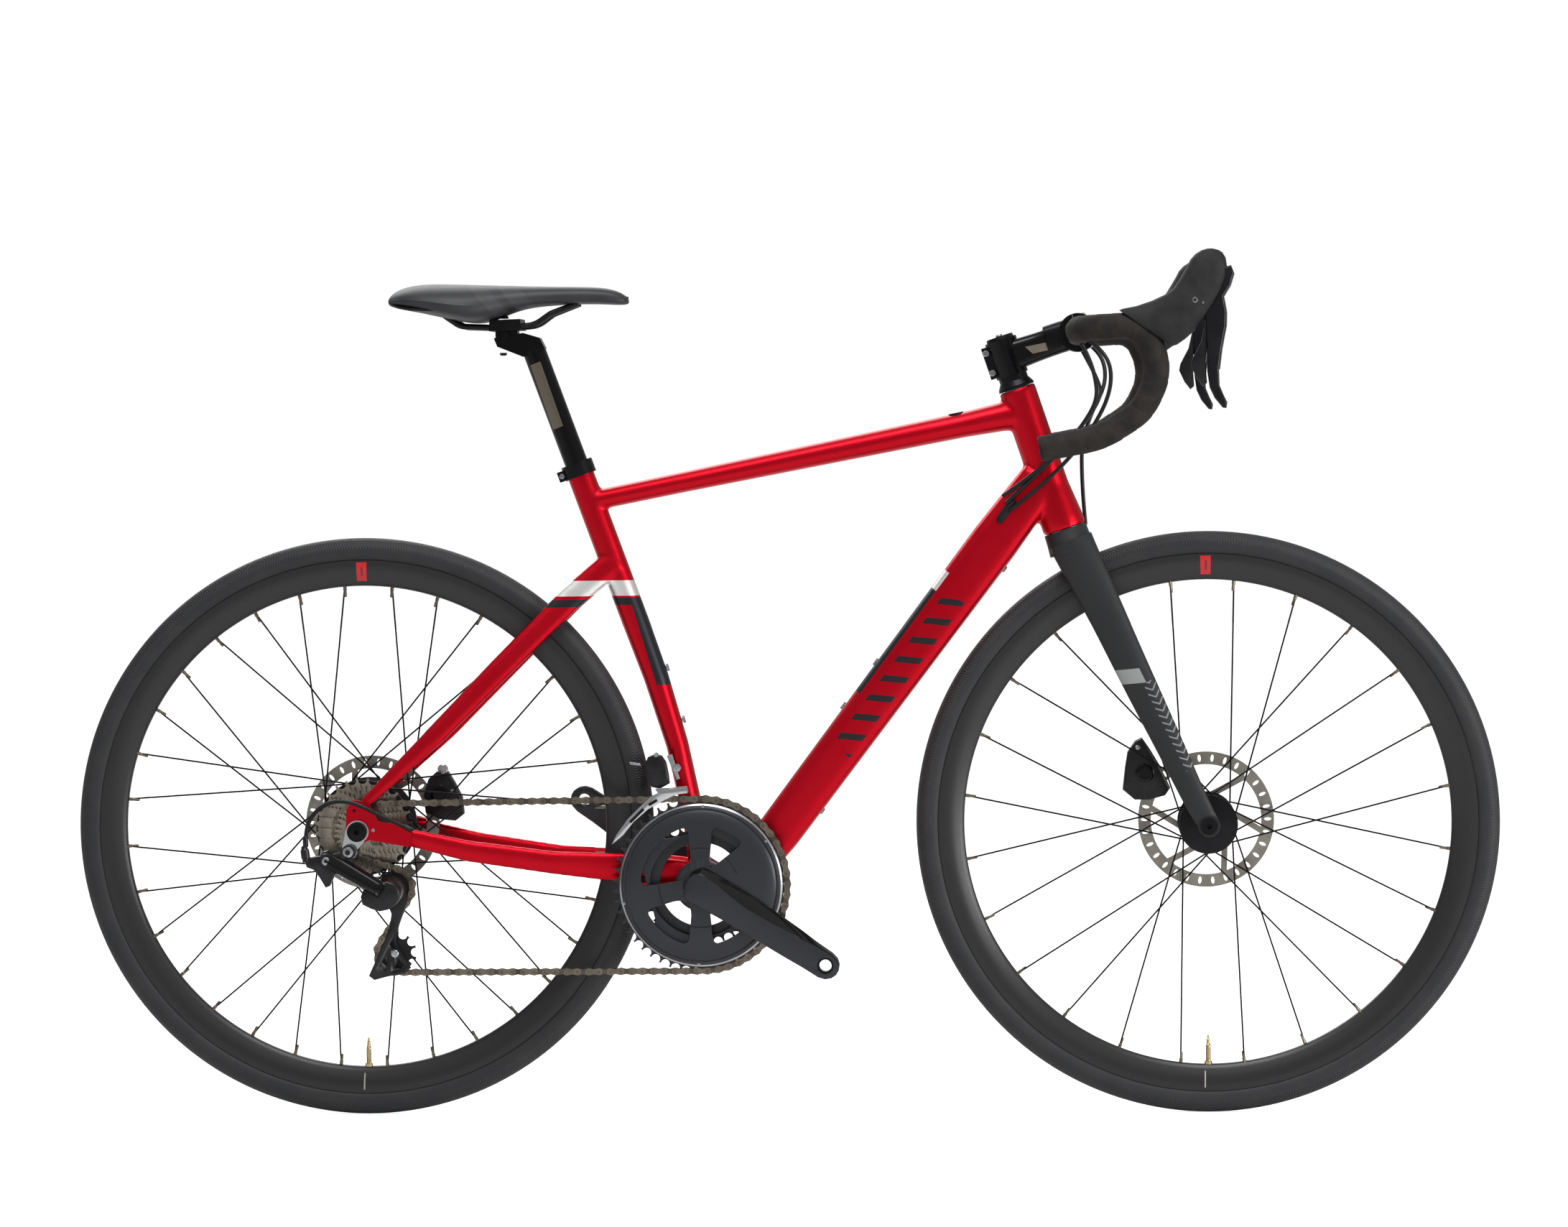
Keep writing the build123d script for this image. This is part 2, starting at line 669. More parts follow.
def bar_path_points():
    """Corner points of the left half of the handlebar."""
    y = BAR_HALF_WIDTH
    return [
        (BAR_X, 20, BAR_Z),
        (BAR_X, y, BAR_Z + 1),
        (BAR_X + 78, y, BAR_Z + 3),
        (BAR_X + 90, y, BAR_Z - 53),
        (BAR_X + 66, y, BAR_Z - 87),
        (BAR_X + 22, y, BAR_Z - 111),
        (BAR_X - 40, y, BAR_Z - 126),
    ]


BAR_BENDS = [42, 28, 26, 40, 60]


def handlebar():
    """Drop bar, thicker where the stem clamps it."""
    half = swept(bar_path_points(), BAR_BENDS, BAR_RADIUS, BAR_RADIUS - 1.8)
    profile = [
        (BAR_RADIUS - 1.8, -72),
        (BAR_RADIUS, -72),
        (BAR_CLAMP_RADIUS, -48),
        (BAR_CLAMP_RADIUS, 48),
        (BAR_RADIUS, 72),
        (BAR_RADIUS - 1.8, 72),
    ]
    middle = turned_y(profile, BAR_X, BAR_Z)
    slab = Pos(BAR_X, 0, BAR_Z) * Box(60, 144, 60)
    left = half - slab
    return middle + left + mirrored(left)


def bar_tape():
    """Tape from beside the stem to each end of the bar."""
    outer = BAR_RADIUS + TAPE_THICKNESS
    left = swept(bar_path_points(), BAR_BENDS, outer, BAR_RADIUS)
    slab = Pos(BAR_X, 0, BAR_Z) * Box(90, 166, 90)
    left = left - slab
    return group(left, mirrored(left))


def hood_stations():
    """Left hood stations from the bar to the tip of the horn."""
    y = BAR_HALF_WIDTH
    x, z = BAR_X, BAR_Z
    return [
        (x + 48, y, z + 2, (1, 0, 0), 33, 43),
        (x + 84, y, z + 4, (1, 0, 0.12), 36, 55),
        (x + 114, y, z + 18, (0.88, 0, 0.47), 35, 56),
        (x + 137, y, z + 48, (0.62, 0, 0.78), 32, 45),
        (x + 149, y, z + 73, (0.35, 0, 0.94), 28, 35),
        (x + 154, y, z + 87, (0.25, 0, 0.97), 18, 20),
    ]


LEVER_X, LEVER_Z = BAR_X + 144.0, BAR_Z + 32.0
LEVER_WIDTH = 15.0


def brake_hoods():
    """Both lever hoods, cut for the bar, the tape and the lever's pivot space."""
    body = tube_skin(hood_stations())
    body -= swept(bar_path_points(), BAR_BENDS, BAR_RADIUS + TAPE_THICKNESS)
    body -= lever_space()
    left = biggest(body)
    return group(left, mirrored(left))


def lever_space():
    """The room in the hood that the lever and paddle need over their travel."""
    y = BAR_HALF_WIDTH
    pocket = [
        (BAR_X + 122, BAR_Z - 12),
        (BAR_X + 130, BAR_Z + 16),
        (BAR_X + 133, BAR_Z + 42),
        (BAR_X + 158, BAR_Z + 62),
        (BAR_X + 190, BAR_Z + 50),
        (BAR_X + 190, BAR_Z - 40),
    ]
    half = LEVER_WIDTH / 2 + GAP
    return side_plate(pocket, y - half, y + half)


def lever_pin():
    """The left lever's pivot pin, held by the hood's two walls."""
    y = BAR_HALF_WIDTH
    return disc_y(LEVER_X, LEVER_Z, 2.5, y - 13.5, y + 13.5)


def brake_lever():
    """Left lever blade with its pivot boss."""
    x, z = BAR_X, BAR_Z
    y = BAR_HALF_WIDTH
    outline = [
        (x + 138, z + 40),
        (x + 150, z + 54),
        (x + 160, z + 52),
        (x + 158, z + 32),
        (x + 164, z + 8),
        (x + 158, z - 24),
        (x + 156, z - 62),
        (x + 165, z - 84),
        (x + 163, z - 91),
        (x + 152, z - 84),
        (x + 144, z - 60),
        (x + 143, z - 20),
        (x + 140, z + 8),
        (x + 134, z + 28),
    ]
    half = LEVER_WIDTH / 2
    blade = side_plate(outline, y - half, y + half)
    groove = side_plate(
        [(x + 130, z + 20), (x + 149, z + 20), (x + 152, z - 62), (x + 130, z - 62)],
        y - half + 3.0,
        y + half - 3.0,
    )
    return blade - groove - disc_y(LEVER_X, LEVER_Z, 2.5 + RUN_FIT, y - 20, y + 20)


def shift_paddle():
    """Left shift paddle, hinged inside the lever blade."""
    x, z = BAR_X, BAR_Z
    y = BAR_HALF_WIDTH
    outline = [
        (x + 141, z + 18),
        (x + 146.5, z + 18),
        (x + 147, z - 10),
        (x + 140, z - 32),
        (x + 143, z - 62),
        (x + 133, z - 68),
        (x + 126, z - 52),
        (x + 126, z - 30),
        (x + 134, z - 6),
    ]
    return side_plate(outline, y - 1.6, y + 1.6)


# ---------------------------------------------------------------- brakes
def rotor(x, y):
    """Slotted brake disc with six curved arms and its lock ring."""
    half = ROTOR_THICKNESS / 2
    sketch = Circle(ROTOR_RADIUS) - Circle(ROTOR_RADIUS - 15)
    sketch -= PolarLocations(ROTOR_RADIUS - 7.5, 30) * Ellipse(4.2, 1.9)
    arms = Sketch() + PolarLocations(43, 6) * (Rot(0, 0, 32) * Rectangle(62, 7))
    ring = Circle(24) - Circle(17.5)
    whole = sketch + (arms & (Circle(ROTOR_RADIUS - 13) - Circle(22))) + ring
    disc = lateral(x, AXLE_Z, y - half) * extrude(whole, ROTOR_THICKNESS)
    lock = ring_y(x, AXLE_Z, 20, 10.5, y + half, y + half + 3)
    return group(disc, lock)


def caliper_slot(x, y):
    """The slot that the brake disc runs in, with room for worn-in travel."""
    return disc_y(x, AXLE_Z, ROTOR_RADIUS + 2, y - 1.7, y + 1.7)


def front_caliper():
    """Flat-mount caliper close behind the left fork blade."""
    outline = [
        (FRONT_X - 98, AXLE_Z + 34),
        (FRONT_X - 93, AXLE_Z + 78),
        (FRONT_X - 84, AXLE_Z + 94),
        (FRONT_X - 72, AXLE_Z + 98),
        (FRONT_X - 54, AXLE_Z + 66),
        (FRONT_X - 40, AXLE_Z + 36),
        (FRONT_X - 48, AXLE_Z + 28),
        (FRONT_X - 74, AXLE_Z + 22),
    ]
    body = side_plate(outline, FRONT_ROTOR_Y - 12, FRONT_ROTOR_Y + 11)
    return body - caliper_slot(FRONT_X, FRONT_ROTOR_Y)


def rear_caliper(stay_solid, dropout_solid):
    """Flat-mount caliper on the left chainstay."""
    outline = [
        (REAR_X + 62, AXLE_Z + 8),
        (REAR_X + 56, AXLE_Z + 34),
        (REAR_X + 74, AXLE_Z + 56),
        (REAR_X + 98, AXLE_Z + 62),
        (REAR_X + 124, AXLE_Z + 30),
        (REAR_X + 120, AXLE_Z - 20),
        (REAR_X + 84, AXLE_Z - 14),
    ]
    body = side_plate(outline, REAR_ROTOR_Y - 10, REAR_ROTOR_Y + 9)
    body -= caliper_slot(REAR_X, REAR_ROTOR_Y)
    body -= stay_solid
    return biggest(body - dropout_solid)


# ---------------------------------------------------------------- wheels
def tyre(x):
    """A hollow tyre with its beads inside the rim's hooks."""
    half = TYRE_WIDTH / 2
    centre = TYRE_RADIUS - half
    bead = RIM_WIDTH / 2 - RIM_WALL - 0.1
    steps = 10
    start = radians(-38)
    outer = []
    inner = []
    for i in range(steps + 1):
        angle = start + (pi - 2 * start) * i / steps
        outer.append((centre + half * sin(angle), half * cos(angle)))
        thin = half - TYRE_WALL
        inner.append((centre + thin * sin(angle), thin * cos(angle)))
    left = [(RIM_EDGE_RADIUS + 0.3, bead), (BEAD_RADIUS - 1.5, bead)]
    left += [(BEAD_RADIUS - 1.5, bead - 2.2), (RIM_EDGE_RADIUS - 0.5, bead - 2.2)]
    right = [(r, -y) for r, y in reversed(left)]
    outline = left[:2] + left[2:] + inner + right + list(reversed(outer))
    return turned_y(outline, x, AXLE_Z)


def rim(x, spoke_angles):
    """Hollow deep-section rim with a hole for each spoke."""
    half = RIM_WIDTH / 2
    edge = RIM_EDGE_RADIUS
    tip = edge - RIM_DEPTH
    wall = RIM_WALL
    outline = [
        (edge, half),
        (edge - 12, half),
        (edge - 26, 6.5),
        (tip, 3.5),
        (tip, -3.5),
        (edge - 26, -6.5),
        (edge - 12, -half),
        (edge, -half),
        (edge, -half + wall),
        (BEAD_RADIUS - 1.6, -half + wall),
        (BEAD_RADIUS - 4.5, -5),
        (BEAD_RADIUS - 4.5, 5),
        (BEAD_RADIUS - 1.6, half - wall),
        (edge, half - wall),
    ]
    cavity = [
        (edge - 12.5, half - wall),
        (edge - 26, 6.5 - wall),
        (tip + 1.8, 3.0),
        (tip + 1.8, -3.0),
        (edge - 26, -6.5 + wall),
        (edge - 12.5, -half + wall),
        (BEAD_RADIUS - 6.3, -5),
        (BEAD_RADIUS - 6.3, 5),
    ]
    return turned_y(outline, x, AXLE_Z) - turned_y(cavity, x, AXLE_Z)


def spoke_layout(count, phase):
    """Rim angle, flange side (-1 right) and lean of each spoke."""
    layout = []
    for k in range(count):
        angle = phase + 360.0 * k / count
        side = -1 if k % 2 == 0 else 1
        lean = -1 if k % 4 < 2 else 1
        layout.append((angle, side, lean))
    return layout


def spokes(x, layout, hub_radius, tangent_radius, flange_y):
    """Straight spokes from each flange to the rim."""
    rim_radius = RIM_EDGE_RADIUS - RIM_DEPTH - 0.1
    turn = degrees(asin(tangent_radius / hub_radius) - asin(tangent_radius / rim_radius))
    solids = []
    for angle, side, lean in layout:
        hub_angle = radians(angle + lean * turn)
        y = flange_y[0] if side < 0 else flange_y[1]
        outward = 0.0
        start = (
            x + hub_radius * cos(hub_angle),
            y,
            AXLE_Z + hub_radius * sin(hub_angle),
        )
        end = (
            x + rim_radius * cos(radians(angle)),
            side * 2.0 + outward,
            AXLE_Z + rim_radius * sin(radians(angle)),
        )
        solids.append(rod(start, end, SPOKE_RADIUS))
    return group(*solids)


FRONT_FLANGES = (-33.0, 21.0)
REAR_FLANGES = (-20.0, 33.0)
FRONT_LAYOUT = spoke_layout(FRONT_SPOKES, 8.4)
REAR_LAYOUT = spoke_layout(REAR_SPOKES, 4.4 + 22.5)
FRONT_SPOKE_HUB, FRONT_TANGENT = 34.5, 27.0
REAR_SPOKE_HUB, REAR_TANGENT = 56.2, 49.0


def front_hub():
    """Front hub shell with two flanges and the bore for its axle."""
    half = FRONT_HUB_WIDTH / 2
    right, left = FRONT_FLANGES
    profile = [
        (AXLE_RADIUS + RUN_FIT, -half + GAP),
        (11, -half + GAP),
        (11, right - 5),
        (FRONT_SPOKE_HUB - 0.1, right - 2.4),
        (FRONT_SPOKE_HUB - 0.1, right + 2.4),
        (15, right + 6),
        (13, -6),
        (15, left - 6),
        (FRONT_SPOKE_HUB - 0.1, left - 2.4),
        (FRONT_SPOKE_HUB - 0.1, left + 2.4),
        (17, left + 6),
        (17, FRONT_ROTOR_Y + 0.8),
        (10.4, FRONT_ROTOR_Y + 0.8),
        (10.4, half - GAP),
        (AXLE_RADIUS + RUN_FIT, half - GAP),
    ]
    return turned_y(profile, FRONT_X, AXLE_Z)


def hub_motor():
    """Motor hub shell: a wide drum between two spoke flanges."""
    right, left = REAR_FLANGES
    hub = REAR_SPOKE_HUB - 0.1
    bore = AXLE_RADIUS + RUN_FIT
    profile = [
        (bore, right - 6),
        (30, right - 6),
        (hub - 3, right - 3),
        (hub, right - 2.4),
        (hub, right + 2.6),
        (hub - 7, right + 6),
        (hub - 8, left - 6),
        (hub, left - 2.6),
        (hub, left + 2.4),
        (hub - 6, left + 3.5),
        (28, left + 10),
        (17, left + 14),
        (17, REAR_ROTOR_Y + 0.8),
        (10.4, REAR_ROTOR_Y + 0.8),
        (10.4, REAR_HUB_WIDTH / 2 - GAP),
        (bore, REAR_HUB_WIDTH / 2 - GAP),
        (bore, left + 6),
        (25, left + 6),
        (hub - 12, left),
        (hub - 12, right + 2),
        (25, right - 2),
        (bore, right - 2),
    ]
    return turned_y(profile, REAR_X, AXLE_Z)


def sprocket_sketch(teeth, bore, phase):
    """A toothed disc: roller seats cut round the pitch circle."""
    pitch = pitch_radius(teeth)
    blank = Circle(pitch + 2.2) - Circle(bore)
    seats = PolarLocations(pitch + 0.7, teeth, start_angle=phase) * Circle(ROLLER_RADIUS + 1.35)
    return blank - seats


def sprocket(teeth, bore, phase, x, z, y, thickness):
    """One sprocket centred on the plane y; phase is a side-view roller angle."""
    # Seen along the lateral plane's Z the angle runs the other way round.
    sketch = sprocket_sketch(teeth, bore, -phase)
    return lateral(x, z, y - thickness / 2) * extrude(sketch, thickness)


# ---------------------------------------------------------------- chain path
def tangent_angle(a, b):
    """Travel direction of the line from circle a to circle b."""
    dx, dz = b[0] - a[0], b[1] - a[1]
    length = (dx * dx + dz * dz) ** 0.5
    return atan2(dz, dx) - asin((b[3] * b[2] - a[3] * a[2]) / length)


def chain_circles(cage_angle):
    """Chainring, sprocket, guide pulley and tension pulley: x, z, radius, turn, y."""
    tension_x = GUIDE_X + CAGE_LENGTH * cos(cage_angle)
    tension_z = GUIDE_Z + CAGE_LENGTH * sin(cage_angle)
    sprocket_r = pitch_radius(CASSETTE_TEETH[CHAIN_SPROCKET])
    sprocket_y = CASSETTE_OUTER_Y + CHAIN_SPROCKET * CASSETTE_STEP
    pulley = pitch_radius(PULLEY_TEETH)
    return [
        (BB_X, BB_Z, pitch_radius(BIG_TEETH), 1, BIG_RING_Y),
        (REAR_X, AXLE_Z, sprocket_r, 1, sprocket_y),
        (GUIDE_X, GUIDE_Z, pulley, -1, sprocket_y),
        (tension_x, tension_z, pulley, 1, sprocket_y),
    ]


def chain_segments(cage_angle):
    """Runs and arcs of the pitch line in travel order."""
    circles = chain_circles(cage_angle)
    count = len(circles)
    headings = [tangent_angle(circles[i], circles[(i + 1) % count]) for i in range(count)]
    segments = []
    for i in range(count):
        x, z, radius, turn, y = circles[i]
        nx, nz, next_radius, next_turn, next_y = circles[(i + 1) % count]
        before = headings[i - 1]
        after = headings[i]
        sweep_angle = ((after - before) * turn) % (2 * pi)
        segments.append(("arc", x, z, radius, turn, before, sweep_angle, y))
        side = (-sin(after), cos(after))
        start = (x - turn * radius * side[0], z - turn * radius * side[1])
        end = (nx - next_turn * next_radius * side[0], nz - next_turn * next_radius * side[1])
        length = ((end[0] - start[0]) ** 2 + (end[1] - start[1]) ** 2) ** 0.5
        segments.append(("run", start, end, length, y, next_y))
    return segments


def link_radius(radius):
    """Radius whose arc is as long as the chain's links that lie on it."""
    return CHAIN_PITCH / 2 / asin(CHAIN_PITCH / 2 / radius)


def segment_length(segment):
    """Length of chain that lies on one run or arc."""
    if segment[0] == "arc":
        return link_radius(segment[3]) * segment[6]
    return segment[3]


def point_on_chain(distance, segments):
    """The (x, y, z) of the pitch line at a distance along it."""
    for segment in segments:
        length = segment_length(segment)
        if distance > length:
            distance -= length
            continue
        if segment[0] == "arc":
            _, x, z, radius, turn, before, _, y = segment
            heading = before + turn * distance / link_radius(radius)
            side = (-sin(heading), cos(heading))
            return x - turn * radius * side[0], y, z - turn * radius * side[1]
        _, start, end, length, y, next_y = segment
        straight = min(2.2 * CHAIN_PITCH, length / 3)
        share = distance / length
        slant = min(max((distance - straight) / (length - 2 * straight), 0.0), 1.0)
        return (
            start[0] + (end[0] - start[0]) * share,
            y + (next_y - y) * slant,
            start[1] + (end[1] - start[1]) * share,
        )
    first = segments[0]
    return point_on_chain(0.0, [first])


def chain_length(cage_angle):
    """Length of the chain that the cage takes up at an angle."""
    return sum(segment_length(s) for s in chain_segments(cage_angle))


def settled_cage_angle(start, reach):
    """The cage angle near start at which the chain is a whole even number of links."""
    links = 2 * round(chain_length(start) / CHAIN_PITCH / 2)
    low, high = start - reach, start + reach
    rising = chain_length(high) > chain_length(low)
    for _ in range(50):
        middle = (low + high) / 2
        longer = chain_length(middle) > links * CHAIN_PITCH
        if longer == rising:
            high = middle
        else:
            low = middle
    return (low + high) / 2


CAGE_ANGLE = settled_cage_angle(radians(-91.5), radians(25))
TENSION_X = GUIDE_X + CAGE_LENGTH * cos(CAGE_ANGLE)
TENSION_Z = GUIDE_Z + CAGE_LENGTH * sin(CAGE_ANGLE)


def chain_points():
    """Every pin of the chain, starting in the middle of the chainring's arc."""
    segments = chain_segments(CAGE_ANGLE)
    total = chain_length(CAGE_ANGLE)
    links = round(total / CHAIN_PITCH)
    shift = segment_length(segments[0]) / 2
    return [point_on_chain((shift + i * total / links) % total, segments) for i in range(links)]


CHAIN_POINTS = chain_points()


def nearest_phase(x, z, radius):
    """Side-view angle in degrees of the chain pin best seated on a circle."""
    def misfit(point):
        return abs(((point[0] - x) ** 2 + (point[2] - z) ** 2) ** 0.5 - radius)

    seated = [p for p in CHAIN_POINTS if misfit(p) < 0.4]
    middle = seated[len(seated) // 2]
    return degrees(atan2(middle[2] - z, middle[0] - x))


def link_plate(length, low, high):
    """One side plate of a link, along X from its first pin."""
    shape = Pos(length / 2, 0) * SlotCenterToCenter(length, 8.0)
    return Pos(0, 0, low) * extrude(shape, high - low)


def chain():
    """Inner links with their rollers, and outer plates between them."""
    pitch = CHAIN_PITCH
    roller = Pos(0, 0, -1.2) * extrude(Circle(ROLLER_RADIUS), 2.4)
    inner = link_plate(pitch, 1.2, 2.0) + link_plate(pitch, -2.0, -1.2)
    inner = inner + roller + Pos(pitch, 0, 0) * roller
    outer = [link_plate(pitch, 2.05, 2.8), link_plate(pitch, -2.8, -2.05)]
    solids = []
    count = len(CHAIN_POINTS)
    for i in range(count):
        a = Vector(*CHAIN_POINTS[i])
        b = Vector(*CHAIN_POINTS[(i + 1) % count])
        across = (b - a).cross(Vector(0, 1, 0)).cross(b - a)
        place = Plane(origin=a, x_dir=b - a, z_dir=across)
        pieces = [inner] if i % 2 == 0 else outer
        solids.extend(place * piece for piece in pieces)
    return group(*solids)


# ---------------------------------------------------------------- drivetrain
def cassette():
    """Eleven sprockets, their spacers, the freehub body and the lock ring."""
    pieces = []
    for i, teeth in enumerate(CASSETTE_TEETH):
        y = CASSETTE_OUTER_Y + i * CASSETTE_STEP
        radius = pitch_radius(teeth)
        phase = nearest_phase(REAR_X, AXLE_Z, radius) if i == CHAIN_SPROCKET else 0.0
        pieces.append(sprocket(teeth, FREEHUB_RADIUS + 0.02, phase, REAR_X, AXLE_Z, y, 1.6))
        if i > 0:
            outer = min(21.0, pitch_radius(CASSETTE_TEETH[i - 1]) - 4.6)
            low = y - CASSETTE_STEP + 0.8
            pieces.append(
                ring_y(REAR_X, AXLE_Z, outer, FREEHUB_RADIUS + 0.02, low, y - 0.8)
            )
    inner_y = CASSETTE_OUTER_Y + 10 * CASSETTE_STEP + 0.8
    body = ring_y(REAR_X, AXLE_Z, FREEHUB_RADIUS, AXLE_RADIUS + RUN_FIT, CASSETTE_OUTER_Y - 0.8, inner_y)
    lock = ring_y(
        REAR_X, AXLE_Z, 13.2, AXLE_RADIUS + RUN_FIT + 2, CASSETTE_OUTER_Y - 2.6, CASSETTE_OUTER_Y - 0.8
    )
    return group(*pieces, body, lock)


FREEHUB_RADIUS = 12.6


def chainrings():
    """Big and small chainrings; the big one carries four wide arms."""
    phase = nearest_phase(BB_X, BB_Z, pitch_radius(BIG_TEETH))
    big = sprocket(BIG_TEETH, 86, phase, BB_X, BB_Z, BIG_RING_Y, 2.0)
    web = Circle(88) - Circle(60)
    slot = Rot(0, 0, 90) * SlotOverall(70, 19)
    windows = PolarLocations(71, 4, start_angle=-CRANK_ANGLE + 45) * slot
    low = BIG_RING_Y - 4.2
    cover = lateral(BB_X, BB_Z, low) * extrude(web - windows, 4.2 + 1.0)
    small = sprocket(SMALL_TEETH, 49, 0.0, BB_X, BB_Z, SMALL_RING_Y, 2.0)
    return group(big + cover, small)


def arm_outline(angle, length):
    """Tapered side-view outline of a crank arm."""
    direction = Vector(cos(radians(angle)), 0, sin(radians(angle)))
    across = Vector(-sin(radians(angle)), 0, cos(radians(angle)))
    centre = Vector(BB_X, 0, BB_Z)
    points = []
    widths = ((0, ARM_HALF), (0.23 * length, ARM_HALF), (0.88 * length, EYE_RADIUS + 0.5), (length, EYE_RADIUS))
    for distance, half in widths:
        points.append(centre + direction * distance + across * half)
    for distance, half in reversed(widths):
        points.append(centre + direction * distance - across * half)
    return [(p.X, p.Z) for p in points]


def pedal_eye(angle):
    """World (x, z) of the pedal thread's centre."""
    return (
        BB_X + CRANK_LENGTH * cos(radians(angle)),
        BB_Z + CRANK_LENGTH * sin(radians(angle)),
    )


def crank_arm(angle, y_low, y_high):
    """One crank arm with round ends and its pedal thread."""
    eye_x, eye_z = pedal_eye(angle)
    arm = side_plate(arm_outline(angle, CRANK_LENGTH), y_low, y_high)
    arm += disc_y(BB_X, BB_Z, ARM_HALF, y_low, y_high)
    arm += disc_y(eye_x, eye_z, EYE_RADIUS, y_low, y_high)
    return arm - disc_y(eye_x, eye_z, PEDAL_THREAD_RADIUS, y_low - 1, y_high + 1)


# angles of the four spider arms from the crank arm
SPIDER_ANGLES = (-61.0, 61.0, 126.0, -126.0)


def crank_right():
    """Right arm with its spider and the hollow spindle."""
    low = -ARM_Y - ARM_THICKNESS
    arm = crank_arm(CRANK_ANGLE, low, -ARM_Y)
    spider_high = BIG_RING_Y - 4.2
    body = arm + disc_y(BB_X, BB_Z, 30, -ARM_Y - 4, spider_high)
    for offset in SPIDER_ANGLES:
        angle = CRANK_ANGLE + offset
        place = lateral(BB_X, BB_Z, spider_high - 6) * Rot(0, 0, -angle)
        body += place * extrude(Pos(44, 0) * Rectangle(50, 17), 6)
    body -= disc_y(BB_X, BB_Z, SPINDLE_RADIUS + 0.02, low - 1, spider_high + 1)
    spindle = disc_y(BB_X, BB_Z, SPINDLE_RADIUS, low, ARM_Y + ARM_THICKNESS - 1)
    spindle -= disc_y(BB_X, BB_Z, SPINDLE_RADIUS - 2.5, low - 1, ARM_Y + ARM_THICKNESS)
    return group(body, spindle)


def crank_left():
    """Left arm clamped on the spindle."""
    angle = CRANK_ANGLE + 180
    arm = crank_arm(angle, ARM_Y, ARM_Y + ARM_THICKNESS)
    return arm - disc_y(BB_X, BB_Z, SPINDLE_RADIUS + 0.02, ARM_Y - 1, ARM_Y + ARM_THICKNESS + 1)


# ---------------------------------------------------------------- rear derailleur
SPROCKET_Y = CASSETTE_OUTER_Y + CHAIN_SPROCKET * CASSETTE_STEP
SLANT = radians(28)
LINK_DROP, LINK_RUN = -34.0, 62.0
LINK_OUT = LINK_DROP * sin(SLANT) / cos(SLANT)
PIVOT_A = Vector(-531, -86, 311)
PIVOT_B = PIVOT_A + Vector(LINK_RUN, LINK_OUT, LINK_DROP)
MOVE = Vector(0, cos(SLANT), -sin(SLANT))
LINK_AXIS = (PIVOT_B - PIVOT_A).normalized().cross(MOVE)
PIN_RADIUS = 2.6
LINK_HALF = 8.5


def along_axis(centre, axis, radius, low, high):
    """A cylinder on an axis through a centre."""
    plane = Plane(origin=centre + axis * low, z_dir=axis)
    return Solid.make_cylinder(radius, high - low, plane)


def derailleur_knuckle():
    """Upper knuckle bolted to the hanger, with two ears for the link's pin."""
    face = -(REAR_HUB_WIDTH / 2 + DROPOUT_THICKNESS + HANGER_THICKNESS)
    boss = disc_y(HANGER_BOLT_X, HANGER_BOLT_Z, 8.5, face - 10, face)
    bolt = disc_y(HANGER_BOLT_X, HANGER_BOLT_Z, 5.0, face - 8, face + HANGER_THICKNESS + 4)
    bridge = [
        (HANGER_BOLT_X + 2, HANGER_BOLT_Z + 8),
        (HANGER_BOLT_X + 2, HANGER_BOLT_Z - 8),
        (-522, 296),
        (-540, 298),
        (-548, 312),
        (-540, 322),
        (-522, 322),
    ]
    body = side_plate(bridge, -94, face - 2) + boss + bolt
    body += along_axis(PIVOT_A, LINK_AXIS, 8.0, -(LINK_HALF + 5), LINK_HALF + 5)
    body -= along_axis(PIVOT_A, LINK_AXIS, 9.6, -(LINK_HALF + GAP), LINK_HALF + GAP)
    body -= link_sweep_space()
    body += along_axis(PIVOT_A, LINK_AXIS, PIN_RADIUS, -(LINK_HALF + 5), LINK_HALF + 5)
    return body


def link_sweep_space():
    """The wedge that the link needs beside the knuckle over its travel."""
    plane = Plane(origin=PIVOT_A - LINK_AXIS * (LINK_HALF + GAP), x_dir=PIVOT_B - PIVOT_A, z_dir=LINK_AXIS)
    wedge = make_face(Polyline((0, -9), (60, -34), (60, 40), (0, 9), close=True))
    return plane * extrude(wedge, 2 * (LINK_HALF + GAP))


def derailleur_link():
    """The outer parallelogram link between the two knuckles."""
    span = (PIVOT_B - PIVOT_A).length
    plane = Plane(origin=PIVOT_A - LINK_AXIS * LINK_HALF, x_dir=PIVOT_B - PIVOT_A, z_dir=LINK_AXIS)
    shape = Pos(span / 2, 0) * SlotCenterToCenter(span, 13)
    holes = Locations((0, 0), (span, 0)) * Circle(PIN_RADIUS + RUN_FIT)
    window = Pos(span / 2, 0) * SlotOverall(span - 22, 7)
    return plane * extrude(shape - holes - window, 2 * LINK_HALF)


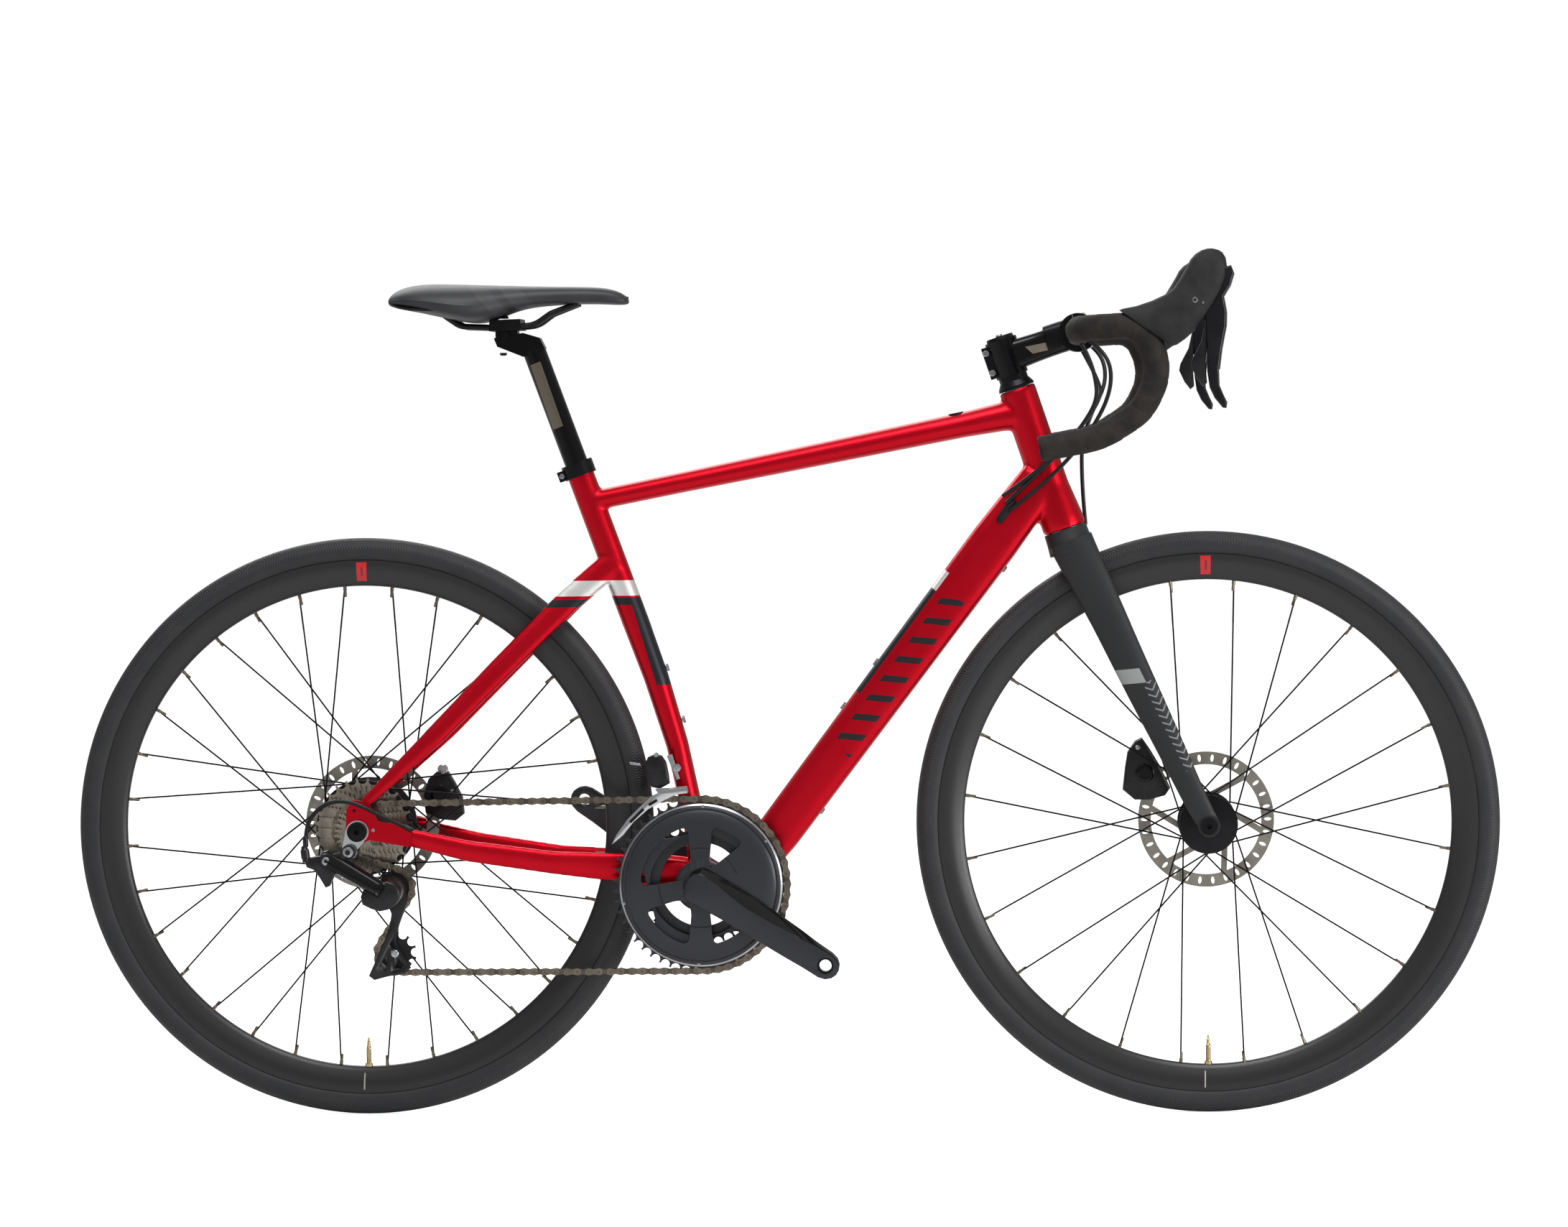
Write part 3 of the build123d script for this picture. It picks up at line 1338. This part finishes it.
def derailleur_pivot():
    """Lower knuckle: ears on the link's far pin and the cage's pivot boss."""
    high = GUIDE_PLANE_Y - 8
    boss = disc_y(GUIDE_X, GUIDE_Z, 12, -104, high)
    body = boss + along_axis(PIVOT_B, LINK_AXIS, 8.0, -(LINK_HALF + 5), LINK_HALF + 5)
    body += along_axis(PIVOT_B + Vector(9, 4, -2), LINK_AXIS, 7.0, -(LINK_HALF + 5), LINK_HALF + 5)
    body -= along_axis(PIVOT_B, LINK_AXIS, 9.6, -(LINK_HALF + GAP), LINK_HALF + GAP)
    plane = Plane(origin=PIVOT_B - LINK_AXIS * (LINK_HALF + GAP), x_dir=PIVOT_A - PIVOT_B, z_dir=LINK_AXIS)
    wedge = make_face(Polyline((0, -9), (60, -40), (60, 34), (0, 9), close=True))
    body -= plane * extrude(wedge, 2 * (LINK_HALF + GAP))
    body += along_axis(PIVOT_B, LINK_AXIS, PIN_RADIUS, -(LINK_HALF + 5), LINK_HALF + 5)
    return body + disc_y(GUIDE_X, GUIDE_Z, 4.0, high - 1, GUIDE_PLANE_Y - 5.6)


GUIDE_PLANE_Y = SPROCKET_Y


def cage_plate(y_low, y_high):
    """One side plate of the derailleur cage."""
    direction = Vector(cos(CAGE_ANGLE), 0, sin(CAGE_ANGLE))
    across = Vector(-direction.Z, 0, direction.X)
    corners = []
    for distance, side in ((-10, 8), (20, 10), (60, 11), (90, 15), (96, -4), (70, -12), (25, -9), (-8, -8)):
        p = Vector(GUIDE_X, 0, GUIDE_Z) + direction * distance + across * side
        corners.append((p.X, p.Z))
    return side_plate(corners, y_low, y_high)


def derailleur_cage():
    """Both cage plates with the two pulley bolts."""
    y = GUIDE_PLANE_Y
    outer = cage_plate(y - 6.2, y - 4.4)
    outer -= disc_y(GUIDE_X, GUIDE_Z, 4.0 + RUN_FIT, y - 7, y - 5.2)
    inner = cage_plate(y + 4.4, y + 6.0)
    bolts = disc_y(GUIDE_X, GUIDE_Z, 2.5, y - 5.0, y + 6.0)
    bolts += disc_y(TENSION_X, TENSION_Z, 2.5, y - 8.0, y + 6.0)
    return outer + inner + bolts


def pulley(x, z):
    """A jockey wheel with holes and a bore for its bolt."""
    phase = nearest_phase(x, z, pitch_radius(PULLEY_TEETH))
    wheel = sprocket(PULLEY_TEETH, 2.5 + RUN_FIT, phase, x, z, GUIDE_PLANE_Y, 1.9)
    return wheel + ring_y(x, z, 8, 2.5 + RUN_FIT, GUIDE_PLANE_Y - 4.0, GUIDE_PLANE_Y + 4.0)


# ---------------------------------------------------------------- front derailleur
FD_BODY_Y = -34.0


def front_derailleur(seat_outer):
    """Front derailleur body and bracket on the seat tube."""
    bracket = side_plate([(-146, 432), (-137, 434), (-122, 392), (-131, 389)], -25, -10)
    body = side_plate([(-172, 424), (-160, 431), (-140, 428), (-131, 398), (-158, 400)], FD_BODY_Y, -19)
    return biggest(bracket + body - seat_outer)


def front_derailleur_cage():
    """The two curved cage plates that push the chain across, joined over it."""
    radius = pitch_radius(BIG_TEETH) + 8.0
    half_gap = 5.2
    outline = []
    for angle, height in ((100, 0), (110, 0), (120, 0), (130, 0), (141, 0), (152, 0), (152, 5), (134, 13), (120, 15), (110, 13), (100, 9)):
        reach = radius + height
        outline.append((BB_X + reach * cos(radians(angle)), BB_Z + reach * sin(radians(angle))))
    low = BIG_RING_Y - half_gap - 1.6
    outer = side_plate(outline, low, BIG_RING_Y - half_gap)
    inner = side_plate(outline, BIG_RING_Y + half_gap, BIG_RING_Y + half_gap + 1.6)
    top = radius + 14
    bridge = [
        (BB_X - 50, BB_Z + top - 15.5),
        (BB_X - 48, BB_Z + top - 9),
        (BB_X - 30, BB_Z + top - 5),
        (BB_X - 28, BB_Z + top - 12),
    ]
    return outer + inner + side_plate(bridge, low, FD_BODY_Y - GAP)


# ---------------------------------------------------------------- seat
RAIL_Y = 22.0
RAIL_RADIUS = 3.5


def seatpost():
    """Seatpost tube with its set-back head."""
    tube = SEAT * ring_z(POST_RADIUS, POST_RADIUS - 2.2, -POST_INSERTED, POST_ABOVE)
    x, z = along_seat(POST_ABOVE)
    head = side_plate(
        [
            (x + 14, z + 2),
            (x + 8, z + 14),
            (x - 12, z + 20),
            (x - 46, z + 14),
            (x - 42, z + 4),
            (x - 12, z - 8),
            (x + 6, z - 6),
        ],
        -12,
        12,
    )
    return tube + head


def saddle_clamp(post):
    """Clamp that grips both saddle rails, with its bolt."""
    x, z = along_seat(POST_ABOVE)
    outline = [(x - 50, z + 22), (x - 12, z + 23), (x - 13, z + 36), (x - 49, z + 35)]
    cradle = side_plate(outline, -RAIL_Y - 6, RAIL_Y + 6)
    neck = side_plate(
        [(x - 44, z + 13), (x - 18, z + 18), (x - 18, z + 24), (x - 44, z + 24)], -11, 11
    )
    bolt = rod((x - 28, 0, z - 8), (x - 31, 0, z + 24), 3.4)
    body = cradle + neck + bolt - post
    for side in (-1, 1):
        body -= rail_solid(side, 0.02)
    return biggest(body)


def rail_points(side):
    """Corner points of one saddle rail."""
    x, z = along_seat(POST_ABOVE)
    y = side * RAIL_Y
    return [
        (x - 112, y * 1.35, z + 48),
        (x - 84, y, z + 28),
        (x - 30, y, z + 25.5),
        (x + 4, y, z + 29),
        (x + 22, y * 0.85, z + 42),
        (x + 54, y * 0.6, z + 54),
    ]


def rail_solid(side, extra=0.0):
    """One saddle rail along its bends."""
    return swept(rail_points(side), [20, 60, 30, 20], RAIL_RADIUS + extra)


def saddle_rails():
    """Both saddle rails."""
    return group(rail_solid(-1), rail_solid(1))


def saddle_stations(drop, shrink, height):
    """Saddle stations from tail to nose, lowered and narrowed for the shell."""
    x, z = along_seat(POST_ABOVE)
    base = [
        (-166, 88, 61, 12),
        (-150, 126, 58, 24),
        (-118, 143, 60, 34),
        (-70, 122, 62, 32),
        (-10, 66, 66, 20),
        (50, 44, 66, 19),
        (98, 36, 64, 15),
        (112, 20, 60, 8),
    ]
    faces = []
    for dx, width, middle, depth in base:
        thick = depth if height is None else height
        level = z + middle + (0 if height is None else -depth / 2 + height / 2) - drop
        plane = Plane(origin=(x + dx, 0, level), x_dir=(0, 1, 0), z_dir=(1, 0, 0))
        corner = min(width - shrink, thick) * 0.45
        faces.append(plane * RectangleRounded(width - shrink, thick, corner))
    return faces


def saddle_shell():
    """The stiff shell under the padding, with sockets for the rails."""
    shell = loft(saddle_stations(-2.0, 12, 3.2))
    return shell


def saddle_cover(shell):
    """Padding and cover over the shell."""
    return loft(saddle_stations(0, 0, None)) - shell


# ---------------------------------------------------------------- lines
LINE_RADIUS = 2.4
HOUSING_POINTS = [
    (-430, -84.5, 343),
    (-465, -86.5, 359),
    (-486, -87.5, 370.5),
    (-505, -88.5, 377.5),
    (-523, -89.5, 377.5),
    (-540, -90, 369),
    (-551, -90, 354),
    (-554.5, -90, 338),
    (-554.5, -90, 326),
]
LINE_ROUTES = {
    "left_brake": [
        (359.5, 82.8, 905),
        (371, 80, 896),
        (381, 70, 878),
        (380, 50, 852),
        (364, 34, 822),
        (352, 29, 786),
        (352, 30, 748),
        (354, 32, 712),
        (356, 33, 690),
    ],
    "right_brake": [
        (359.5, -82.8, 905),
        (373, -80, 895),
        (386, -71, 874),
        (384, -54, 842),
        (366, -42, 806),
        (340, -36, 772),
        (312, -34, 744),
        (288, -31, 724),
        (267, -28, 708),
    ],
    "rear_shift": [
        (351.5, -82.8, 900.4),
        (358, -79, 889),
        (367, -66, 864),
        (370, -50, 836),
        (352, -42, 806),
        (328, -37, 778),
        (302, -34, 753),
        (280, -30, 733),
        (263, -27.8, 717),
    ],
    "front_shift": [
        (351.5, 82.8, 900.4),
        (358, 76, 888),
        (369, 56, 866),
        (376, 30, 846),
        (368, 2, 828),
        (352, -22, 806),
        (328, -34, 780),
        (303, -36, 757),
        (279, -31, 739),
        (259, -27.6, 725),
    ],
}


def bend_radii(points):
    """For each corner, the largest arc that its two runs leave room for."""
    radii = []
    for a, b, c in zip(points, points[1:], points[2:]):
        into = Vector(*b) - Vector(*a)
        out = Vector(*c) - Vector(*b)
        turn = radians(into.get_angle(out))
        radii.append(0.45 * min(into.length, out.length) / tan(turn / 2))
    return radii


def line_tube(points, radius, name):
    """A hose or housing along its route."""
    radii = bend_radii(points)
    print(name, "radii", [round(r) for r in radii])
    return swept(points, radii, radius)


def control_lines():
    """Two hoses and two housings from the bar to the frame and fork."""
    return group(*[line_tube(points, LINE_RADIUS, name) for name, points in LINE_ROUTES.items()])


def assist_button():
    """Push button on the top tube."""
    cap = disc_along(BUTTON_PLANE, BUTTON_RADIUS, -3.5, 1.2)
    return cap


def main():
    """Build every node and write it."""
    os.makedirs("parts", exist_ok=True)
    head_outer = head_tube_outer()
    seat_outer = seat_tube_outer()
    bb_solid = bb_outer()
    top_outer = tube_skin(top_tube_stations())
    down_outer = down_tube_outer()
    dropout_solid = dropout_solids()
    stay_left = mirrored(tube_skin(chainstay_stations()))
    fork_solid = fork()
    post = seatpost()
    shell = saddle_shell()
    shell -= rail_solid(-1, 0.01)
    shell -= rail_solid(1, 0.01)
    cover = saddle_cover(loft(saddle_stations(-2.0, 12, 3.2)))
    cover -= rail_solid(-1, 0.01)
    cover -= rail_solid(1, 0.01)

    write(head_tube(), "head_tube")
    write(headset_bearings(), "headset_bearings")
    write(seat_tube(bb_solid), "seat_tube")
    write(top_tube(head_outer, seat_outer), "top_tube")
    write(down_tube(head_outer, top_outer, bb_solid, seat_outer), "down_tube")
    write(battery_pack(), "battery_pack")
    write(bottom_bracket_shell(), "bottom_bracket_shell")
    write(bottom_bracket(), "bottom_bracket")
    write(chainstays(bb_solid, dropout_solid, seat_outer, down_outer), "chainstays")
    write(seatstays(seat_outer, dropout_solid), "seatstays")
    write(dropouts(), "dropouts")
    write(derailleur_hanger(), "derailleur_hanger")
    write(rear_axle(), "rear_axle")
    write(seat_collar(), "seat_collar")
    write(bottle_bolts([seat_tube(bb_solid), down_tube(head_outer, top_outer, bb_solid, seat_outer)]), "bottle_bolts")
    write(assist_button(), "assist_button")

    write(fork_solid, "fork")
    write(front_axle(), "front_axle")
    write(headset_spacers(), "headset_spacers")
    write(stem(), "stem")
    write(stem_faceplate(), "stem_faceplate")
    write(handlebar(), "handlebar")
    write(bar_tape(), "bar_tape")
    write(group(brake_hoods(), lever_pin(), mirrored(lever_pin())), "brake_hoods")
    write(brake_lever(), "brake_lever_left")
    write(mirrored(brake_lever()), "brake_lever_right")
    write(shift_paddle(), "shift_paddle_left")
    write(mirrored(shift_paddle()), "shift_paddle_right")
    write(front_caliper(), "front_caliper")
    write(rear_caliper(stay_left, mirrored(dropout_solid)), "rear_caliper")

    write(tyre(FRONT_X), "front_tyre")
    write(rim(FRONT_X, FRONT_LAYOUT), "front_rim")
    write(spokes(FRONT_X, FRONT_LAYOUT, FRONT_SPOKE_HUB, FRONT_TANGENT, FRONT_FLANGES), "front_spokes")
    write(front_hub(), "front_hub")
    write(rotor(FRONT_X, FRONT_ROTOR_Y), "front_rotor")
    write(tyre(REAR_X), "rear_tyre")
    write(rim(REAR_X, REAR_LAYOUT), "rear_rim")
    write(spokes(REAR_X, REAR_LAYOUT, REAR_SPOKE_HUB, REAR_TANGENT, REAR_FLANGES), "rear_spokes")
    write(hub_motor(), "hub_motor")
    write(rotor(REAR_X, REAR_ROTOR_Y), "rear_rotor")

    write(cassette(), "cassette")
    write(chainrings(), "chainrings")
    write(crank_right(), "crank_right")
    write(crank_left(), "crank_left")
    write(chain(), "chain")

    write(derailleur_knuckle(), "derailleur_knuckle")
    write(derailleur_link(), "derailleur_link")
    write(derailleur_pivot(), "derailleur_pivot")
    write(derailleur_cage(), "derailleur_cage")
    write(pulley(GUIDE_X, GUIDE_Z), "guide_pulley")
    write(pulley(TENSION_X, TENSION_Z), "tension_pulley")
    write(front_derailleur(seat_outer), "front_derailleur")
    write(front_derailleur_cage(), "front_derailleur_cage")

    write(post, "seatpost")
    write(saddle_clamp(post), "saddle_clamp")
    write(saddle_rails(), "saddle_rails")
    write(shell, "saddle_shell")
    write(cover, "saddle_cover")
    write(control_lines(), "control_lines")
    write(line_tube(HOUSING_POINTS, LINE_RADIUS, "rear_loop"), "rear_shift_housing")
    print("mount", pedal_eye(CRANK_ANGLE), pedal_eye(CRANK_ANGLE + 180))
    print("axis", LINK_AXIS, PIVOT_A, PIVOT_B)


main()
